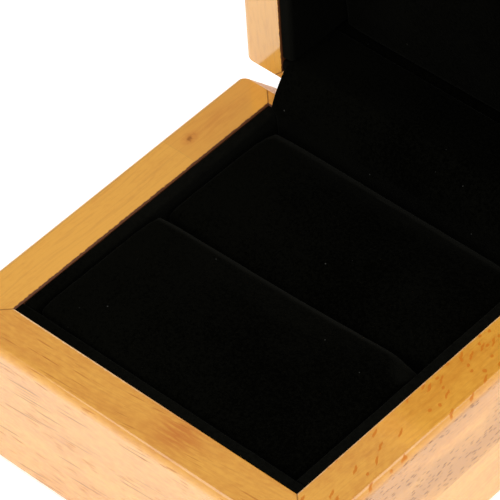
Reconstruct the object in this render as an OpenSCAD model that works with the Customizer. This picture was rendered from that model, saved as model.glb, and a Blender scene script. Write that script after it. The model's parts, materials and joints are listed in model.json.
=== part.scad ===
// Hinged wooden ring box, shown open: two mitred frames with let-in panels, a velvet lining,
// a slit ring cushion, and a sprung steel hinge in the V groove behind the rear edges.
// Millimetres. +Z is up, the front faces -Y, and the origin is the middle of the underside.

/* [Box] */
// Outer width, side to side
box_w = 62; // [54:0.5:80]
// Outer depth, front to back
box_d = 62; // [54:0.5:80]
// Height of the base, underside to rim
base_h = 22.4; // [18:0.2:32]
// Height of the lid, rim to top
lid_h = 19.6; // [16.5:0.2:28]
// Thickness of the frame walls
wall_t = 6.75; // [6:0.25:8]
// Rounding of the outer edges
edge_r = 1; // [0.5:0.1:2.5]
// Easing of the inner rim edges
rim_ease = 0.15; // [0.1:0.05:0.6]
// Seam between the closed lid and the base
seam_gap = 0.3; // [0.2:0.05:0.6]
// Height of the upper strip of the glued right wall, measured down from the rim
strip_h = 12.2; // [8:0.2:14]

/* [Panels] */
// Thickness of the bottom panel
bottom_t = 4; // [2.5:0.25:5]
// Thickness of the lid's top panel
top_t = 4; // [2.5:0.25:5]
// Width of the rebate that a panel sits in
rebate_w = 3; // [2:0.25:4]
// Gap between a panel's edge and its rebate
panel_gap = 0.1; // [0.05:0.05:0.3]

/* [Lining] */
// Thickness of the velvet-covered card on the inner walls
liner_t = 1.8; // [1:0.1:2.5]
// Drop of the lining's top edge below the rim
liner_drop = 0.2; // [0.1:0.05:1]
// Rounding of the lining's upper inner edge
liner_edge_r = 0.5; // [0.3:0.1:1]
// Thickness of the card on the floor of the base
floor_card_t = 1; // [0.5:0.1:2]
// Thickness of the board behind the lid pad
lid_board_t = 1.5; // [0.8:0.1:2.5]
// Gap between a pad and the lining around it
pad_gap = 0.15; // [0.1:0.05:0.6]
// Depth from the lid's rim to the middle of the lid pad
lid_pad_depth = 9.8; // [7:0.2:11]

/* [Ring cushion] */
// Place of the ring slit, behind the middle of the box
slit_y = 1.7; // [-3:0.1:4]
// Set of the slit off square: how far back its right end lies from its middle
slit_skew = 0.6; // [0:0.1:1.2]
// Width of the ring slit below its rounded lips
slit_w = 0.6; // [0.4:0.1:2]
// Drop of the front pad's edges below the rim
front_pad_drop = 0.25; // [0.1:0.05:3]
// Drop of the rear pad's edges below the rim
rear_pad_drop = 1.4; // [0.5:0.1:3]
// Crown of a pad above its edges
pad_crown = 0.4; // [0.2:0.1:0.8]
// Sag of the front pad's lip at the slit
lip_sag = 0.4; // [0:0.1:2]
// Fall of the rear pad towards the slit
rear_pad_fall = 1.2; // [0:0.1:2]
// Rounding of the front pad's upper edges along the lining
front_shoulder = 0.5; // [0.4:0.1:2.5]
// Rounding of the front pad's lip at the slit
lip_shoulder = 1.3; // [0.4:0.1:2.5]
// Rounding of the rear pad's upper edges at the slit and the sides
side_shoulder = 1; // [0.4:0.1:2.5]
// Rounding of the rear pad's upper rear edge
rear_shoulder = 2.5; // [0.6:0.1:3]
// Rounding of the lid pad's front edges
lid_shoulder = 0.9; // [0.4:0.1:2.5]
// Drawing-in of a pad's sides between its corners
pad_pull = 0.15; // [0:0.05:0.6]

/* [Hinge] */
// Angle between the lid and the base as shown
open_angle = 90; // [60:1:92]
// Distance of the hinge axis in from the rear face
hinge_in = 3.5; // [3:0.1:4]
// Height of the hinge axis above the base's rim
hinge_rise = 0.5; // [0.2:0.05:0.6]
// Slope of the bevels behind the hinge, from the rim
bevel_angle = 47; // [46:1:52]
// Length of the hinge
hinge_len = 32; // [28:1:44]
// Thickness of the hinge leaves
leaf_t = 0.8; // [0.5:0.05:0.85]
// Reach of a leaf down its bevel, from the hinge axis
leaf_w = 5.4; // [4.6:0.1:5.6]
// Outer diameter of the knuckles
knuckle_d = 2.1; // [1.9:0.05:2.3]
// Gap between a knuckle and the wood
knuckle_gap = 0.2; // [0.1:0.05:0.3]
// Gap between neighbouring knuckles along the pin
knuckle_end_gap = 0.3; // [0.2:0.05:0.5]
// Length of each outer knuckle
outer_knuckle_l = 7; // [5:0.5:9]
// Length of each inner knuckle
inner_knuckle_l = 4; // [3:0.5:5]
// Diameter of the hinge pin
pin_d = 1; // [0.8:0.05:1.1]
// Running clearance between the pin and a knuckle, on the radius
pin_clear = 0.03; // [0.02:0.01:0.05]
// Diameter of the spring's wire
wire_d = 0.35; // [0.3:0.05:0.4]
// Turns wound in the spring, before the part turn that its legs take off
spring_turns = 7; // [4:1:8]

/* [Screws] */
// Diameter of a screw's shank
screw_d = 1.4; // [1:0.1:1.6]
// Diameter of a screw's head
screw_head_d = 2.6; // [2.2:0.1:3]
// Length of a screw below its leaf
screw_l = 4; // [3:0.25:5]
// Gap around a screw in its hole
screw_gap = 0.05; // [0.02:0.01:0.1]

/* [Hinge cover] */
// Thickness of the velvet strip over the hinge
flap_t = 0.6; // [0.4:0.05:0.8]
// Length of the strip that lies on the base's rear wall
flap_tail = 6; // [4:0.25:8]
// Length of the strip from the lid's rim to its end on the lid's lining
flap_lid_tail = 9.2; // [4:0.2:9.4]
// Gap between the strip and what it lies on
flap_gap = 0.1; // [0.05:0.05:0.2]
// Gap between the strip's ends and the side walls
flap_end_gap = 0.9; // [0.3:0.1:1.5]
// Rise of the strip where it leaves the base, as a share of its span
flap_rise = 0.15; // [0.1:0.05:0.4]

/* [Hidden] */
$fn = 48;
eps = 0.01;
over = 1;
wood = [0.87, 0.66, 0.37];
pale_wood = [0.95, 0.79, 0.58];
velvet = [0.06, 0.06, 0.065];
card = [0.13, 0.13, 0.14];
steel = [0.72, 0.73, 0.74];

half_w = box_w / 2;
half_d = box_d / 2;
in_w = box_w - 2 * wall_t;
in_d = box_d - 2 * wall_t;
lined_w = in_w - 2 * liner_t;
lined_d = in_d - 2 * liner_t;
lid_rim = base_h + seam_gap;

// The base's rear lining is flush with the strip over the hinge, which hangs down to it
rear_liner_t = flap_t + flap_gap;
base_rear = in_d / 2 - rear_liner_t;

// The upright corners and the ends of the hinge bevels are rounded a little more than the other edges
corner_extra = 0.8;
corner_r = edge_r + corner_extra;
lid_end_extra = 0.4;
lid_end_r = edge_r + lid_end_extra;

// The lid's side linings end at the strip over the hinge, which lies on the lid's rear lining
lid_side_end = lined_d / 2 - flap_t - 2 * flap_gap;

// Hinge places: the axis, and how far the bevelled wood keeps away from it
axis_y = half_d - hinge_in;
axis_z = base_h + hinge_rise;
knuckle_r = knuckle_d / 2;
bevel_reach = knuckle_r + knuckle_gap;
leaf_top = leaf_t - bevel_reach;
leaf_edge_gap = 0.2;
leaf_start = bevel_reach + leaf_edge_gap;
outer_end = hinge_len / 2;
outer_start = outer_end - outer_knuckle_l;
inner_end = outer_start - knuckle_end_gap;
inner_start = inner_end - inner_knuckle_l;
spring_half = inner_start - knuckle_end_gap;
pin_head_l = 0.4;
pin_head_rim = 0.25;
pin_head_r = pin_d / 2 + pin_head_rim;
screw_x = (outer_start + outer_end) / 2;
screw_s = (leaf_start + leaf_w) / 2;
head_h = 0.65;
drive_w = 0.4;
drive_depth = 0.3;
spring_notch = 1.1;

// Ring cushion levels
pad_floor = bottom_t + floor_card_t;
pad_front = -lined_d / 2 + pad_gap;
pad_rear = base_rear - pad_gap;
pad_w = lined_w - 2 * pad_gap;

// Placing

// Turns what is modelled on the closed box to where the open lid holds it
module lid_pose() {
    translate([0, axis_y, axis_z])
        rotate([-open_angle, 0, 0])
            translate([0, -axis_y, -axis_z])
                children();
}

// Stands a frame made rim upwards on the base as the closed lid, rim downwards
module lid_up() {
    translate([0, 0, lid_rim + lid_h])
        mirror([0, 0, 1])
            children();
}

// Hinge parts: the axis is at the local origin, Y runs down the base's bevel and Z out of it
module at_base_bevel() {
    translate([0, axis_y, axis_z])
        rotate([-bevel_angle, 0, 0])
            children();
}

// The same on the bevel of the closed lid, which mirrors the base's through the axis
module at_lid_bevel() {
    translate([0, 0, 2 * axis_z])
        mirror([0, 0, 1])
            at_base_bevel()
                children();
}

// Lays a section out along X: its first axis points to +Y and its second to +Z
module along_x(length) {
    rotate([90, 0, 90])
        linear_extrude(length, center = true)
            children();
}

// Turns what is made for the front side to one of the four sides of the box
module on_side(turn, reach) {
    rotate([0, 0, turn])
        translate([0, -reach, 0])
            children();
}

// Frame walls

// Waste between a square corner at the origin and its arc
module corner_waste(r) {
    difference() {
        translate([-eps, -eps])
            square(r + eps);
        translate([r, r])
            circle(r);
    }
}

module rounded_plan(w, d, r) {
    square([w - 2 * r, d], center = true);
    square([w, d - 2 * r], center = true);
    for (x = [-1, 1], y = [-1, 1])
        translate([x * (w / 2 - r), y * (d / 2 - r)])
            circle(r);
}

// Section of a frame wall: outer face at 0, panel side at the bottom, rim at the top
module wall_section(h, panel_t) {
    difference() {
        square([wall_t, h]);
        corner_waste(edge_r);
        translate([0, h])
            mirror([0, 1])
                corner_waste(edge_r);
        translate([wall_t, h])
            rotate(45)
                square(rim_ease * sqrt(2), center = true);
        translate([wall_t - rebate_w, -eps])
            square([rebate_w + eps, panel_t + eps]);
    }
}

// One mitred wall of a frame, on the side that is reached by the turn from the front
module frame_wall(turn, h, panel_t) {
    across = (turn % 180 == 0) ? box_w : box_d;
    reach = (turn % 180 == 0) ? half_d : half_w;
    mitre = wall_t + over;
    intersection() {
        linear_extrude(h)
            rounded_plan(box_w, box_d, corner_r);
        on_side(turn, reach)
            along_x(across)
                wall_section(h, panel_t);
        on_side(turn, reach)
            linear_extrude(h)
                polygon([
                    [-across / 2, 0], [across / 2, 0],
                    [across / 2 - mitre, mitre], [mitre - across / 2, mitre]
                ]);
    }
}

// What the hinge bevel takes off the rear of the base, with its rounded ends and its screws' pilot holes
module bevel_cut(end_r) {
    span = 3 * wall_t;
    at_base_bevel() {
        translate([-half_w - over, -span, -bevel_reach])
            cube([box_w + 2 * over, 2 * span, span]);
        for (side = [0, 1])
            mirror([side, 0, 0])
                translate([-half_w, -span, -bevel_reach])
                    rotate([-90, 0, 0])
                        linear_extrude(2 * span)
                            corner_waste(end_r);
        screw_holes();
    }
}

module lid_bevel_cut() {
    translate([0, 0, 2 * axis_z])
        mirror([0, 0, 1])
            bevel_cut(lid_end_r);
}

module screw_holes() {
    for (side = [-1, 1])
        translate([side * screw_x, screw_s, -bevel_reach - screw_l - screw_gap])
            cylinder(h = screw_l + screw_gap + over, r = screw_d / 2 + screw_gap);
}

module base_wall(turn) {
    difference() {
        frame_wall(turn, base_h, bottom_t);
        bevel_cut(corner_r);
    }
}

module lid_wall(turn) {
    lid_pose()
        difference() {
            lid_up()
                frame_wall(turn, lid_h, top_t);
            lid_bevel_cut();
        }
}

// A panel that fills a frame's rebate
module rebate_panel(panel_t) {
    fit = 2 * (rebate_w - panel_gap);
    linear_extrude(panel_t)
        square([in_w + fit, in_d + fit], center = true);
}

module base_front_wall() {
    color(wood)
        frame_wall(0, base_h, bottom_t);
}

module base_rear_wall() {
    color(wood)
        base_wall(180);
}

module base_left_wall() {
    color(wood)
        base_wall(270);
}

// The right wall is glued up from two strips
module base_right_strip(low, high) {
    intersection() {
        base_wall(90);
        translate([-box_w, -box_d, low])
            cube([2 * box_w, 2 * box_d, high - low]);
    }
}

module base_right_upper_strip() {
    color(wood)
        base_right_strip(base_h - strip_h, base_h + over);
}

module base_right_lower_strip() {
    color(pale_wood)
        base_right_strip(-over, base_h - strip_h);
}

module base_bottom_panel() {
    color(pale_wood)
        rebate_panel(bottom_t);
}

module lid_front_wall() {
    color(pale_wood)
        lid_wall(0);
}

module lid_rear_wall() {
    color(pale_wood)
        lid_wall(180);
}

module lid_left_wall() {
    color(pale_wood)
        lid_wall(270);
}

module lid_right_wall() {
    color(pale_wood)
        lid_wall(90);
}

module lid_top_panel() {
    color(pale_wood)
        lid_pose()
            lid_up()
                rebate_panel(top_t);
}

// Lining

// A strip of covered card against one inner wall, with a round upper inner edge
module liner(turn, length, low, high, shift = 0, thick = liner_t) {
    reach = ((turn % 180 == 0) ? in_d : in_w) / 2;
    color(velvet)
        on_side(turn, reach)
            translate([shift, 0, 0])
                along_x(length)
                    difference() {
                        translate([0, low])
                            square([thick, high - low]);
                        translate([thick, high])
                            rotate(180)
                                corner_waste(min(liner_edge_r, thick / 2));
                    }
}

// The lining of a side wall, from the front lining to the given place
module side_liner(turn, end, low, high) {
    middle = (end - lined_d / 2) / 2;
    side = (turn == 90) ? 1 : -1;
    liner(turn, end + lined_d / 2, low, high, side * middle);
}

module base_front_liner() {
    liner(0, in_w, bottom_t, base_h - liner_drop);
}

module base_rear_liner() {
    liner(180, lined_w, bottom_t, base_h - flap_tail - flap_gap, thick = rear_liner_t);
}

module base_left_liner() {
    side_liner(270, in_d / 2, bottom_t, base_h - liner_drop);
}

module base_right_liner() {
    side_liner(90, in_d / 2, bottom_t, base_h - liner_drop);
}

module floor_card() {
    deep = base_rear + lined_d / 2;
    color(card)
        translate([0, base_rear - deep / 2, bottom_t])
            linear_extrude(floor_card_t)
                square([lined_w, deep], center = true);
}

module lid_front_liner() {
    lid_pose()
        lid_up()
            liner(0, in_w, top_t, lid_h - liner_drop);
}

module lid_rear_liner() {
    lid_pose()
        lid_up()
            liner(180, in_w, top_t, lid_h - liner_drop);
}

module lid_left_liner() {
    lid_pose()
        lid_up()
            side_liner(270, lid_side_end, top_t, lid_h - liner_drop);
}

module lid_right_liner() {
    lid_pose()
        lid_up()
            side_liner(90, lid_side_end, top_t, lid_h - liner_drop);
}

module lid_pad_board() {
    color(card)
        lid_pose()
            lid_up()
                translate([0, 0, top_t])
                    linear_extrude(lid_board_t)
                        square([lined_w, lined_d], center = true);
}

// Pads

// Cells of a pad's top along X and Y, rings of its rounded shoulder, and softening of its corners
pad_nx = 16;
pad_ny = 10;
shoulder_n = 5;
corner_soft = 0.4;
foot_inset = 0.4;
waist_inset = 0.15;

// Steps round a pad's rim, anticlockwise from above, as pairs from -1 to 1
pad_rim = [
    for (i = [0 : pad_nx - 1]) [2 * i / pad_nx - 1, -1],
    for (j = [0 : pad_ny - 1]) [1, 2 * j / pad_ny - 1],
    for (i = [pad_nx : -1 : 1]) [2 * i / pad_nx - 1, 1],
    for (j = [pad_ny : -1 : 1]) [-1, 2 * j / pad_ny - 1]
];

// A place on a pad in plan: the sides draw in between the corners, the corners are soft, and the
// front and rear edges can each stand off square
function pad_place(w, d, inset, skew, p) =
    let (
        corner = corner_soft * pow(abs(p[0] * p[1]), 6),
        in_x = inset + corner + pad_pull * p[0] * p[0] * (1 - p[1] * p[1]),
        in_y = inset + corner + pad_pull * p[1] * p[1] * (1 - p[0] * p[0]),
        shift = p[0] * (skew[0] * (1 - p[1]) + skew[1] * (1 + p[1])) / 2
    )
    [p[0] * (w / 2 - in_x), p[1] * (d / 2 - in_y) + shift];

// Height of a pad's top: a crown that levels off at the edges, and a sag towards the front and the rear
function pad_height(h, sag, p) =
    let (
        across = 1 - p[0] * p[0],
        to_front = pow((1 - p[1]) / 2, 2),
        to_rear = pow((1 + p[1]) / 2, 2)
    )
    h + pad_crown * pow((1 - pow(p[0], 4)) * (1 - pow(p[1], 4)), 2)
        - across * (sag[0] * to_front + sag[1] * to_rear);

// Radius of a pad's shoulder, which changes close to its rear edge
function pad_shoulder(shoulder, p) =
    shoulder[0] + (shoulder[1] - shoulder[0]) * pow((1 + p[1]) / 2, 6);

// A crowned pad standing on the XY plane, with a rounded shoulder and drawn-in sides; shoulder, sag
// and skew are pairs for its front and rear edges
module pad(w, d, h, shoulder, sag = [0, 0], skew = [0, 0]) {
    rim_n = len(pad_rim);
    grid_n = (pad_nx + 1) * (pad_ny + 1);
    ring_n = shoulder_n + 2;
    top = [
        for (j = [0 : pad_ny], i = [0 : pad_nx])
            let (p = [2 * i / pad_nx - 1, 2 * j / pad_ny - 1])
            concat(pad_place(w, d, pad_shoulder(shoulder, p), skew, p), pad_height(h, sag, p))
    ];
    sides = [
        for (k = [1 : shoulder_n], p = pad_rim)
            let (a = 90 * k / shoulder_n, r = pad_shoulder(shoulder, p))
            concat(
                pad_place(w, d, r * (1 - sin(a)), skew, p),
                pad_height(h, sag, p) - r * (1 - cos(a))
            )
    ];
    waist = [for (p = pad_rim) concat(pad_place(w, d, waist_inset, skew, p), h / 2)];
    foot = [for (p = pad_rim) concat(pad_place(w, d, foot_inset, skew, p), 0)];
    rim_index = [
        for (p = pad_rim)
            round((p[1] + 1) / 2 * pad_ny) * (pad_nx + 1) + round((p[0] + 1) / 2 * pad_nx)
    ];
    function at(k, s) = k == 0 ? rim_index[s % rim_n] : grid_n + (k - 1) * rim_n + s % rim_n;
    middle = grid_n + ring_n * rim_n;
    cell = function (i, j) j * (pad_nx + 1) + i;
    faces = [
        for (j = [0 : pad_ny - 1], i = [0 : pad_nx - 1])
            each [
                [cell(i, j), cell(i + 1, j + 1), cell(i + 1, j)],
                [cell(i, j), cell(i, j + 1), cell(i + 1, j + 1)]
            ],
        for (k = [0 : ring_n - 1], s = [0 : rim_n - 1])
            each [
                [at(k, s), at(k, s + 1), at(k + 1, s + 1)],
                [at(k, s), at(k + 1, s + 1), at(k + 1, s)]
            ],
        for (s = [0 : rim_n - 1]) [middle, at(ring_n, s), at(ring_n, s + 1)]
    ];
    polyhedron(points = concat(top, sides, waist, foot, [[0, 0, 0]]), faces = faces);
}

module front_ring_pad() {
    rear = slit_y - slit_w / 2;
    color(velvet)
        translate([0, (pad_front + rear) / 2, pad_floor])
            pad(pad_w, rear - pad_front, base_h - front_pad_drop - pad_floor,
                [front_shoulder, lip_shoulder], sag = [0, lip_sag], skew = [0, slit_skew]);
}

module rear_ring_pad() {
    front = slit_y + slit_w / 2;
    color(velvet)
        translate([0, (pad_rear + front) / 2, pad_floor])
            pad(pad_w, pad_rear - front, base_h - rear_pad_drop - pad_floor,
                [side_shoulder, rear_shoulder], sag = [rear_pad_fall, 0], skew = [slit_skew, 0]);
}

module lid_pad() {
    back = top_t + lid_board_t;
    color(velvet)
        lid_pose()
            lid_up()
                translate([0, 0, back])
                    pad(pad_w, lined_d - 2 * pad_gap, lid_h - lid_pad_depth - pad_crown - back,
                        [lid_shoulder, lid_shoulder]);
}

// Hinge

// Knuckles on the pin between two places, on both halves of the hinge, with their tails to the leaf
module knuckles(from, to) {
    for (side = [-1, 1])
        translate([side * (from + to) / 2, 0, 0]) {
            rotate([0, 90, 0])
                cylinder(h = to - from, r = knuckle_r, center = true);
            translate([(from - to) / 2, 0, -bevel_reach])
                cube([to - from, leaf_start + eps, leaf_t]);
        }
}

// A leaf lying on its bevel: a plate with room for the spring and the other leaf's knuckles
module hinge_leaf(from, to) {
    difference() {
        union() {
            translate([-hinge_len / 2, leaf_start, -bevel_reach])
                cube([hinge_len, leaf_w - leaf_start, leaf_t]);
            knuckles(from, to);
        }
        rotate([0, 90, 0])
            cylinder(h = hinge_len + 2 * over, r = pin_d / 2 + pin_clear, center = true);
        translate([-inner_start, -over, -bevel_reach - over])
            cube([2 * inner_start, leaf_start + spring_notch + over, 2 * over + leaf_t]);
        for (side = [-1, 1])
            translate([side * screw_x, screw_s, leaf_top])
                screw_shape(screw_gap, bevel_reach);
    }
}

// A countersunk screw, its head's top at the local origin, with an all-round growth for its hole
module screw_shape(growth, depth) {
    head_r = screw_head_d / 2 + growth;
    shank_r = screw_d / 2 + growth;
    translate([0, 0, -head_h])
        cylinder(h = head_h + eps, r1 = shank_r, r2 = head_r);
    translate([0, 0, -depth])
        cylinder(h = depth - head_h + eps, r = shank_r);
}

module hinge_screws() {
    for (side = [-1, 1])
        translate([side * screw_x, screw_s, leaf_top])
            difference() {
                screw_shape(0, leaf_t + screw_l);
                translate([-screw_head_d, -drive_w / 2, -drive_depth])
                    cube([2 * screw_head_d, drive_w, over]);
            }
}

module hinge_base_leaf() {
    color(steel)
        at_base_bevel()
            hinge_leaf(outer_start, outer_end);
}

module hinge_lid_leaf() {
    color(steel)
        lid_pose()
            at_lid_bevel()
                hinge_leaf(inner_start, inner_end);
}

module base_hinge_screws() {
    color(steel)
        at_base_bevel()
            hinge_screws();
}

module lid_hinge_screws() {
    color(steel)
        lid_pose()
            at_lid_bevel()
                hinge_screws();
}

module hinge_pin() {
    head_x = outer_end + knuckle_end_gap;
    color(steel)
        translate([0, axis_y, axis_z])
            rotate([0, 90, 0]) {
                cylinder(h = 2 * head_x, r = pin_d / 2, center = true);
                for (side = [-1, 1])
                    translate([0, 0, side * (head_x + pin_head_l / 2)])
                        cylinder(h = pin_head_l, r = pin_head_r, center = true);
            }
}

// Spring

// The coil runs round the pin, and a leg at each end lies on one leaf
coil_gap = 0.15;
coil_r = pin_d / 2 + coil_gap + wire_d / 2;
wire_sides = 6;
rings_a_turn = 8;
leg_past_notch = 1.1;
leg_gap = 0.05;
leg_y = leaf_start + spring_notch + leg_past_notch;
leg_z = leaf_top + leg_gap + wire_d / 2;
// Angle at which the base's leg meets the coil, from the line down the bevel
leg_reach = norm([leg_y, leg_z]);
leg_turn = atan2(leg_z, leg_y) + acos(coil_r / leg_reach);
// Angles of the coil's two ends about the axis, from +Y towards +Z
coil_start = leg_turn - bevel_angle;
coil_end = bevel_angle - leg_turn - open_angle + 360 * (spring_turns + 1);
coil_l = 2 * (spring_half - wire_d);

function turned(y, z, a) = [y * cos(a) - z * sin(a), y * sin(a) + z * cos(a)];
function coil_place(t) =
    let (a = coil_start + t * (coil_end - coil_start))
    [(t - 0.5) * coil_l, coil_r * cos(a), coil_r * sin(a)];

coil_steps = ceil((coil_end - coil_start) / 360 * rings_a_turn);
base_leg_end = concat(-coil_l / 2, turned(leg_y, leg_z, -bevel_angle));
lid_leg_end = concat(coil_l / 2, turned(leg_y, -leg_z, bevel_angle - open_angle));
coil_path = [for (i = [0 : coil_steps]) coil_place(i / coil_steps)];
spring_path = concat(
    [base_leg_end, (base_leg_end + coil_path[0]) / 2],
    coil_path,
    [(lid_leg_end + coil_path[coil_steps]) / 2, lid_leg_end]
);

// Least gap between points of the wire that lie more than half a turn apart
spring_gap = min([
    for (i = [0 : coil_steps], j = [i + rings_a_turn / 2 : 1 : coil_steps])
        norm(coil_path[i] - coil_path[j])
]) - wire_d;

function unit(v) = v / norm(v);

// A closed tube along a path that never runs along X
module wire(path, r) {
    last = len(path) - 1;
    points = [
        for (i = [0 : last])
            let (
                run = unit(path[min(i + 1, last)] - path[max(i - 1, 0)]),
                side = unit([1, 0, 0] - run[0] * run),
                up = cross(run, side)
            )
            for (k = [0 : wire_sides - 1])
                path[i] + r * (cos(360 * k / wire_sides) * side + sin(360 * k / wire_sides) * up)
    ];
    function at(i, k) = i * wire_sides + k % wire_sides;
    faces = [
        for (i = [0 : last - 1], k = [0 : wire_sides - 1])
            each [
                [at(i, k), at(i, k + 1), at(i + 1, k + 1)],
                [at(i, k), at(i + 1, k + 1), at(i + 1, k)]
            ],
        for (k = [1 : wire_sides - 2]) [at(0, 0), at(0, k + 1), at(0, k)],
        for (k = [1 : wire_sides - 2]) [at(last, 0), at(last, k), at(last, k + 1)]
    ];
    polyhedron(points = points, faces = faces);
}

module hinge_spring() {
    echo(spring_least_gap = spring_gap);
    color(steel)
        translate([0, axis_y, axis_z])
            wire(spring_path, wire_d / 2);
}

// Hinge cover

// The strip's middle line in Y and Z: up the base's rear wall, across, and along the lid's lining
flap_base_y = in_d / 2 - flap_gap - flap_t / 2;
flap_lid_y = flap_base_y - liner_t;
flap_lid_bend = liner_drop + liner_edge_r;
flap_steps = 12;

function to_lid(p) =
    [axis_y, axis_z] + turned(p[0] - axis_y, p[1] - axis_z, -open_angle);
function bezier(a, b, c, d, t) =
    pow(1 - t, 3) * a + 3 * t * pow(1 - t, 2) * b + 3 * t * t * (1 - t) * c + pow(t, 3) * d;

flap_low = [flap_base_y, base_h - flap_tail];
flap_leave = [flap_base_y, base_h];
flap_join = to_lid([flap_lid_y, lid_rim + flap_lid_bend]);
flap_high = to_lid([flap_lid_y, lid_rim + flap_lid_tail]);
flap_pull = flap_rise * norm(flap_join - flap_leave);
flap_path = concat(
    [flap_low],
    [
        for (i = [0 : flap_steps])
            bezier(flap_leave, flap_leave + [0, flap_pull],
                   flap_join - flap_pull * unit(flap_high - flap_join), flap_join,
                   i / flap_steps)
    ],
    [flap_high]
);

// Points at one side of the strip's middle line
function flap_side(offset) = [
    for (i = [0 : len(flap_path) - 1])
        let (run = unit(flap_path[min(i + 1, len(flap_path) - 1)] - flap_path[max(i - 1, 0)]))
        flap_path[i] + offset * [-run[1], run[0]]
];

// The strip is narrower in the base, where it lies between the side linings
module hinge_cover() {
    front = flap_side(flap_t / 2);
    back = flap_side(-flap_t / 2);
    color(velvet)
        difference() {
            along_x(in_w - 2 * flap_end_gap)
                polygon(concat(front, [for (i = [len(back) - 1 : -1 : 0]) back[i]]));
            for (side = [0, 1])
                mirror([side, 0, 0])
                    translate([lined_w / 2 - flap_gap, 0, 0])
                        cube([half_w, in_d, base_h - liner_drop + flap_gap]);
        }
}

// Drawing

base_front_wall();
base_rear_wall();
base_left_wall();
base_right_upper_strip();
base_right_lower_strip();
base_bottom_panel();
base_front_liner();
base_rear_liner();
base_left_liner();
base_right_liner();
floor_card();
front_ring_pad();
rear_ring_pad();
hinge_base_leaf();
hinge_pin();
hinge_spring();
base_hinge_screws();
hinge_cover();
lid_front_wall();
lid_rear_wall();
lid_left_wall();
lid_right_wall();
lid_top_panel();
lid_front_liner();
lid_rear_liner();
lid_left_liner();
lid_right_liner();
lid_pad_board();
lid_pad();
hinge_lid_leaf();
lid_hinge_screws();
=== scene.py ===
"""Looks of the hinged ring box: lacquered wood, black velvet and a nickel-plated hinge."""

import json
import math

import bmesh
import bpy
from bpy.props import FloatProperty, FloatVectorProperty, IntProperty, PointerProperty
from mathutils import Matrix, Vector


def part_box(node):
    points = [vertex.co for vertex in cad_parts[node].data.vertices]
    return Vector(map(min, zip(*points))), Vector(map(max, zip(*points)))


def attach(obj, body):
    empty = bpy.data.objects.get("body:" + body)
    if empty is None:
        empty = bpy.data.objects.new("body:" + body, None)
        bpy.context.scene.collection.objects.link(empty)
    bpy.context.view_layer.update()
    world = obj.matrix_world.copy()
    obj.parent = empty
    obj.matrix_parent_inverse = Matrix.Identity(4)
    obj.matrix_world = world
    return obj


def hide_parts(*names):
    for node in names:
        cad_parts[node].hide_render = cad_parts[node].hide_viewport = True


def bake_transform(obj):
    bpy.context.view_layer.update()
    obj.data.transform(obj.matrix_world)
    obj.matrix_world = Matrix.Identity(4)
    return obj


bl_info = {
    "name": "Ring Box",
    "version": (1, 0, 0),
    "blender": (4, 5, 0),
    "location": "View3D > Sidebar > Ring Box",
    "description": "Dresses the packed ring box in wood, velvet and steel",
    "category": "Add Mesh",
}

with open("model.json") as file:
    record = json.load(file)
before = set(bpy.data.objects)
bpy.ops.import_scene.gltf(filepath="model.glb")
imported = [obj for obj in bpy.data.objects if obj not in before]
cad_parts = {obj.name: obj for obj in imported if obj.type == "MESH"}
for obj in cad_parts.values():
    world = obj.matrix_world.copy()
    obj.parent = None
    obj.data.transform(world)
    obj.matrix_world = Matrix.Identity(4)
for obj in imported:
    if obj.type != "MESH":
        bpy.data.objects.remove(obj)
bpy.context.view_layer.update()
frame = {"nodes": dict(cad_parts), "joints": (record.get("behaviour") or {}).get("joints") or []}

MM = 0.001
HINGE = Vector(frame["joints"][0]["pos_m"])
AXES = "XYZ"
UP = Vector((0, 0, 1))
BACK = Vector((0, 1, 0))
RIGHT = Vector((1, 0, 0))
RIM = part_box("base_front_wall")[1].z
WHITE = (1, 1, 1, 1)

# Settings that all colours and all shares have in common
COLOUR = {"subtype": "COLOR", "size": 4, "min": 0, "max": 1}
SHARE = {"subtype": "FACTOR", "min": 0, "max": 1}


# Properties


class WoodProperties(bpy.types.PropertyGroup):
    """Colours and gloss of the lacquered wood."""

    honey: FloatVectorProperty(
        name="Honey",
        description="Lighter colour of the wood",
        default=(0.78, 0.37, 0.040, 1),
        **COLOUR,
    )
    amber: FloatVectorProperty(
        name="Amber",
        description="Colour of the deeper bands along the grain",
        default=(0.64, 0.25, 0.018, 1),
        **COLOUR,
    )
    rose: FloatVectorProperty(
        name="Rose",
        description="Colour of the pinkish face of the right wall's upper strip",
        default=(0.49, 0.20, 0.015, 1),
        **COLOUR,
    )
    pore: FloatVectorProperty(
        name="Pore",
        description="Colour of the pores and fine grain lines",
        default=(0.40, 0.12, 0.010, 1),
        **COLOUR,
    )
    fleck: FloatVectorProperty(
        name="Fleck",
        description="Colour of the flecks across the grain and of the knot",
        default=(0.56, 0.165, 0.004, 1),
        **COLOUR,
    )
    # The joint colour is also used for painted shade along the inner edges of the left and rear
    # walls and of the lid's left wall
    joint: FloatVectorProperty(
        name="Joint line",
        description="Colour of the glue in the joints",
        default=(0.10, 0.030, 0.008, 1),
        **COLOUR,
    )
    cut: FloatVectorProperty(
        name="Cut wood",
        description="Colour of the wood where it is cut after lacquering",
        default=(0.86, 0.56, 0.30, 1),
        **COLOUR,
    )
    joint_width: FloatProperty(
        name="Joint width",
        description="Width of the dark line in a mitred corner",
        unit="LENGTH",
        default=0.2 * MM,
    )
    gloss: FloatProperty(
        name="Roughness",
        description="Roughness of the lacquer",
        default=0.09,
        **SHARE,
    )
    index: FloatProperty(
        name="Index",
        description="Refractive index of the lacquer",
        min=1,
        max=3,
        default=2.0,
    )


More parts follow.
